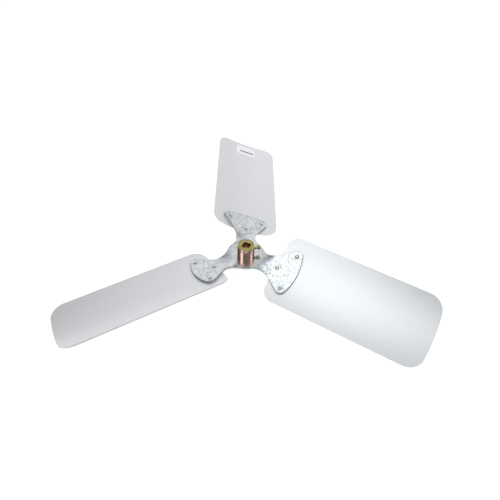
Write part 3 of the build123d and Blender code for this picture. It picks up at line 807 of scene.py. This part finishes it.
# The root edge is an arc about a point on the blade's own middle line
MIDDLE = (TRAILING_REACH - LEADING_REACH) / 2
HALF_WIDTH = (TRAILING_REACH + LEADING_REACH) / 2
ROOT_CORNER_SQUARE = HALF_WIDTH**2 - MIDDLE**2 + (ROOT_DISTANCE + ROOT_SWELL)**2
ROOT_CENTRE = (ROOT_CORNER_SQUARE - ROOT_DISTANCE**2) / (2 * ROOT_SWELL)
ROOT_RADIUS = math.hypot(ROOT_CENTRE - ROOT_DISTANCE, MIDDLE)
BLADE_SIZES = {
    "Tip radius": TIP_RADIUS,
    "Root radius": ROOT_RADIUS,
    "Root centre": ROOT_CENTRE,
    "Middle": MIDDLE,
    "Half width": HALF_WIDTH,
    "Tip leading corner": 24.5 * MM,
    "Tip trailing corner": 25.0 * MM,
    "Root leading corner": 22.0 * MM,
    "Root trailing corner": 17.0 * MM,
    "Camber radius": PAD_TOP_RADIUS + PAD_THICKNESS,
    "Axis height": PAD_TOP_RADIUS,
    "Pitch": PITCH,
    "Arm angle": 0.0,
}
print("root edge radius", round(ROOT_RADIUS / MM, 1), "mm")

# %% A recipe within the recipe: an end edge with two round corners
# It gives how far the end lies from its arc's centre, for a place across the blade. Near a side
# the end follows the corner's own circle, which touches both the big arc and the side.
end_edge = bpy.data.node_groups.new("rounded_end", "GeometryNodeTree")
END_SIZES = (
    "Across", "Arc radius", "Arc middle", "Middle", "Half width", "Leading corner", "Trailing corner")
for name in END_SIZES:
    end_edge.interface.new_socket(name, in_out="INPUT", socket_type="NodeSocketFloat")
end_edge.interface.new_socket("Distance", in_out="OUTPUT", socket_type="NodeSocketFloat")
given = add(end_edge, "NodeGroupInput").outputs
from_middle = add(end_edge, "ShaderNodeMath", {
    0: given["Across"], 1: given["Middle"]}, operation="SUBTRACT")
is_trailing = add(end_edge, "ShaderNodeMath", {0: from_middle, 1: 0.0}, operation="GREATER_THAN")
corner = add(end_edge, "ShaderNodeMix", {
    0: is_trailing, 2: given["Leading corner"], 3: given["Trailing corner"]})
sign = add(end_edge, "ShaderNodeMath", {0: is_trailing, 1: 2.0, 2: -1.0}, operation="MULTIPLY_ADD")
off_arc = add(end_edge, "ShaderNodeMath", {
    0: given["Across"], 1: given["Arc middle"]}, operation="SUBTRACT")
outward = add(end_edge, "ShaderNodeMath", {0: off_arc, 1: sign}, operation="MULTIPLY")
middle_off = add(end_edge, "ShaderNodeMath", {
    0: given["Middle"], 1: given["Arc middle"]}, operation="SUBTRACT")
side_at = add(end_edge, "ShaderNodeMath", {0: middle_off, 1: sign, 2: given["Half width"]},
              operation="MULTIPLY_ADD")
corner_at = add(end_edge, "ShaderNodeMath", {0: side_at, 1: corner}, operation="SUBTRACT")
inner_radius = add(end_edge, "ShaderNodeMath", {0: given["Arc radius"], 1: corner}, operation="SUBTRACT")
inner_square = add(end_edge, "ShaderNodeMath", {0: inner_radius, 1: 2.0}, operation="POWER")
corner_square = add(end_edge, "ShaderNodeMath", {0: corner_at, 1: 2.0}, operation="POWER")
corner_left = add(end_edge, "ShaderNodeMath", {0: inner_square, 1: corner_square}, operation="SUBTRACT")
corner_out = add(end_edge, "ShaderNodeMath", {0: corner_left}, operation="SQRT")
grow_out = add(end_edge, "ShaderNodeMath", {0: given["Arc radius"], 1: inner_radius}, operation="DIVIDE")
touch_at = add(end_edge, "ShaderNodeMath", {0: corner_at, 1: grow_out}, operation="MULTIPLY")
in_corner = add(end_edge, "ShaderNodeMath", {0: outward, 1: touch_at}, operation="GREATER_THAN")
from_corner = add(end_edge, "ShaderNodeMath", {0: outward, 1: corner_at}, operation="SUBTRACT")
arm_length = add(end_edge, "ShaderNodeMix", {0: in_corner, 2: outward, 3: from_corner})
circle_radius = add(end_edge, "ShaderNodeMix", {0: in_corner, 2: given["Arc radius"], 3: corner})
start_out = add(end_edge, "ShaderNodeMath", {0: in_corner, 1: corner_out}, operation="MULTIPLY")
arm_square = add(end_edge, "ShaderNodeMath", {0: arm_length, 1: 2.0}, operation="POWER")
radius_square = add(end_edge, "ShaderNodeMath", {0: circle_radius, 1: 2.0}, operation="POWER")
left_over = add(end_edge, "ShaderNodeMath", {0: radius_square, 1: arm_square}, operation="SUBTRACT")
not_negative = add(end_edge, "ShaderNodeMath", {0: left_over, 1: 0.0}, operation="MAXIMUM")
reach_out = add(end_edge, "ShaderNodeMath", {0: not_negative}, operation="SQRT")
distance = add(end_edge, "ShaderNodeMath", {0: start_out, 1: reach_out})
add(end_edge, "NodeGroupOutput", {0: distance})
print(end_edge.name, "has", len(end_edge.nodes), "nodes")

# %% The blade recipe: stretch a grid between two edges and bend it
blade_recipe, size = start_recipe("rolled_blade", BLADE_SIZES)
tree = blade_recipe
sheet = add(tree, "GeometryNodeMeshGrid", {
    "Size X": 1.0, "Size Y": 1.0, "Vertices X": ROWS_ALONG, "Vertices Y": ROWS_ACROSS})
grid_place = add(tree, "GeometryNodeInputPosition")
share = add(tree, "ShaderNodeSeparateXYZ", {0: grid_place})
# Across the blade, a sine crowds the rows towards the sides, where the corners turn fastest
side_angle = add(tree, "ShaderNodeMath", {0: share.outputs["Y"], 1: 2 * CROWDING}, operation="MULTIPLY")
side_sine = add(tree, "ShaderNodeMath", {0: side_angle}, operation="SINE")
side_share = add(tree, "ShaderNodeMath", {0: side_sine, 1: math.sin(CROWDING)}, operation="DIVIDE")
across_blade = add(tree, "ShaderNodeMath", {0: side_share, 1: size["Half width"], 2: size["Middle"]},
                   operation="MULTIPLY_ADD")
tip_edge = add(tree, "GeometryNodeGroup", {
    "Across": across_blade, "Arc radius": size["Tip radius"], "Middle": size["Middle"],
    "Half width": size["Half width"], "Leading corner": size["Tip leading corner"],
    "Trailing corner": size["Tip trailing corner"]}, node_tree=end_edge)
root_depth = add(tree, "GeometryNodeGroup", {
    "Across": across_blade, "Arc radius": size["Root radius"], "Arc middle": size["Middle"],
    "Middle": size["Middle"], "Half width": size["Half width"],
    "Leading corner": size["Root leading corner"],
    "Trailing corner": size["Root trailing corner"]}, node_tree=end_edge)
root_edge = add(tree, "ShaderNodeMath", {0: size["Root centre"], 1: root_depth}, operation="SUBTRACT")
along_share = add(tree, "ShaderNodeMath", {0: share.outputs["X"], 1: 0.5})
along_blade = add(tree, "ShaderNodeMix", {0: along_share, 2: root_edge, 3: tip_edge})
# Rolled about the camber axis, which lies above the arm's centre line
roll_share = add(tree, "ShaderNodeMath", {0: across_blade, 1: size["Camber radius"]}, operation="DIVIDE")
roll_angle = add(tree, "ShaderNodeMath", {0: roll_share}, operation="ARCSINE")
roll_cosine = add(tree, "ShaderNodeMath", {0: roll_angle}, operation="COSINE")
below_axis = add(tree, "ShaderNodeMath", {
    0: roll_cosine, 1: size["Camber radius"]}, operation="MULTIPLY")
sheet_height = add(tree, "ShaderNodeMath", {0: size["Axis height"], 1: below_axis}, operation="SUBTRACT")
rolled = add(tree, "ShaderNodeCombineXYZ", {0: along_blade, 1: across_blade, 2: sheet_height})
pitched = add(tree, "ShaderNodeVectorRotate", {"Vector": rolled, "Angle": size["Pitch"]},
              rotation_type="X_AXIS")
on_arm = add(tree, "ShaderNodeVectorRotate", {"Vector": pitched, "Angle": size["Arm angle"]},
             rotation_type="Z_AXIS")
bent = add(tree, "GeometryNodeSetPosition", {"Geometry": sheet, "Position": on_arm})
smooth = add(tree, "GeometryNodeSetShadeSmooth", {"Geometry": bent})
solid = add(tree, "GeometryNodeRealizeInstances", {"Geometry": smooth})
dressed = add(tree, "GeometryNodeSetMaterial", {"Geometry": solid, "Material": mill_aluminium})
add(tree, "NodeGroupOutput", {0: dressed})
print(blade_recipe.name, "has", len(tree.nodes), "nodes")

# %% Punches for the rivet holes
# The rivet recipe makes these too: with all its radii equal it is a plain round punch
HOLE_RADIUS = 2.45 * MM
punch_sizes = dict(RIVET_SIZES)
punch_sizes["Uneven"] = 0.0
for radius in ("Shank radius", "Formed radius", "Factory radius"):
    punch_sizes[radius] = HOLE_RADIUS
punches = grow("punches", rivet_recipe, punch_sizes, rivet_zinc)

# %% Roll the three blades
THICKEN = ("SOLIDIFY", {"thickness": BLADE_THICKNESS, "offset": -1.0, "use_even_offset": True})
EASE_STEPS = 2
EASE_ABOVE = math.radians(60)
EASE = ("BEVEL", {
    "width": EASED_EDGE, "segments": EASE_STEPS, "limit_method": "ANGLE", "angle_limit": EASE_ABOVE})
PUNCH = ("BOOLEAN", {"operation": "DIFFERENCE", "object": punches, "solver": "EXACT"})
# Below the angle of one step of the eased edge, so that the edge does not bend the shading of the sheet
SHARP = math.radians(15)
for number in range(ARM_COUNT):
    blade_sizes = dict(BLADE_SIZES)
    blade_sizes["Arm angle"] = number * math.tau / ARM_COUNT
    blade = grow(f"rolled_blade_{number + 1}", blade_recipe, blade_sizes, mill_aluminium,
                 [THICKEN, EASE, PUNCH])
    blade.data.set_sharp_from_angle(angle=SHARP)
    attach(blade, "root")
    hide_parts(f"blade_{number + 1}")
bpy.data.objects.remove(punches)

# %% [markdown]
# ## The screw's thread
# Between the hub and its square head the set screw shows a few turns of thread. The solid has a
# plain shank there. A bump could draw the turns, but they show against the light. A thread is a
# ridge along a helix, so the recipe winds a spiral, sweeps a small profile along it, and turns the
# result to point out of the hub.

# %% Sizes of the thread
# Twenty-four turns to the inch
THREAD_SIZES = {
    "Lead": 25.4 / 24 * MM,
    "Length": 4.5 * MM,
    "Radius": 2.34 * MM,
    "Ridge": 0.3 * MM,
    "Start": 13.75 * MM,
    "Height": 12.1 * MM,
    "Angle": math.radians(40),
}
STEPS_PER_TURN = 28
RIDGE_SIDES = 6
print("thread:", round(THREAD_SIZES["Length"] / THREAD_SIZES["Lead"], 1), "turns")

# %% Wind the thread
thread_recipe, size = start_recipe("screw_thread", THREAD_SIZES)
tree = thread_recipe
turn_count = add(tree, "ShaderNodeMath", {0: size["Length"], 1: size["Lead"]}, operation="DIVIDE")
helix = add(tree, "GeometryNodeCurveSpiral", {
    "Resolution": STEPS_PER_TURN, "Rotations": turn_count, "Start Radius": size["Radius"],
    "End Radius": size["Radius"], "Height": size["Length"]})
ridge = add(tree, "GeometryNodeCurvePrimitiveCircle", {
    "Resolution": RIDGE_SIDES, "Radius": size["Ridge"]})
wound = add(tree, "GeometryNodeCurveToMesh", {"Curve": helix, "Profile Curve": ridge, "Fill Caps": True})
# The helix stands on Z. It is laid along X, moved out to the hub's side and turned to the screw.
laid = add(tree, "GeometryNodeTransform", {"Geometry": wound, "Rotation": (0.0, math.pi / 2, 0.0)})
out_along = add(tree, "ShaderNodeCombineXYZ", {0: size["Start"], 2: size["Height"]})
moved = add(tree, "GeometryNodeTransform", {"Geometry": laid, "Translation": out_along})
screw_turn = add(tree, "ShaderNodeCombineXYZ", {2: size["Angle"]})
screw_rotation = add(tree, "FunctionNodeEulerToRotation", {0: screw_turn})
turned_out = add(tree, "GeometryNodeTransform", {"Geometry": moved, "Rotation": screw_rotation})
solid = add(tree, "GeometryNodeRealizeInstances", {"Geometry": turned_out})
dressed = add(tree, "GeometryNodeSetMaterial", {"Geometry": solid, "Material": yellow_zinc})
add(tree, "NodeGroupOutput", {0: dressed})
thread = grow("set_screw_thread", thread_recipe, THREAD_SIZES, yellow_zinc)
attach(thread, "root")
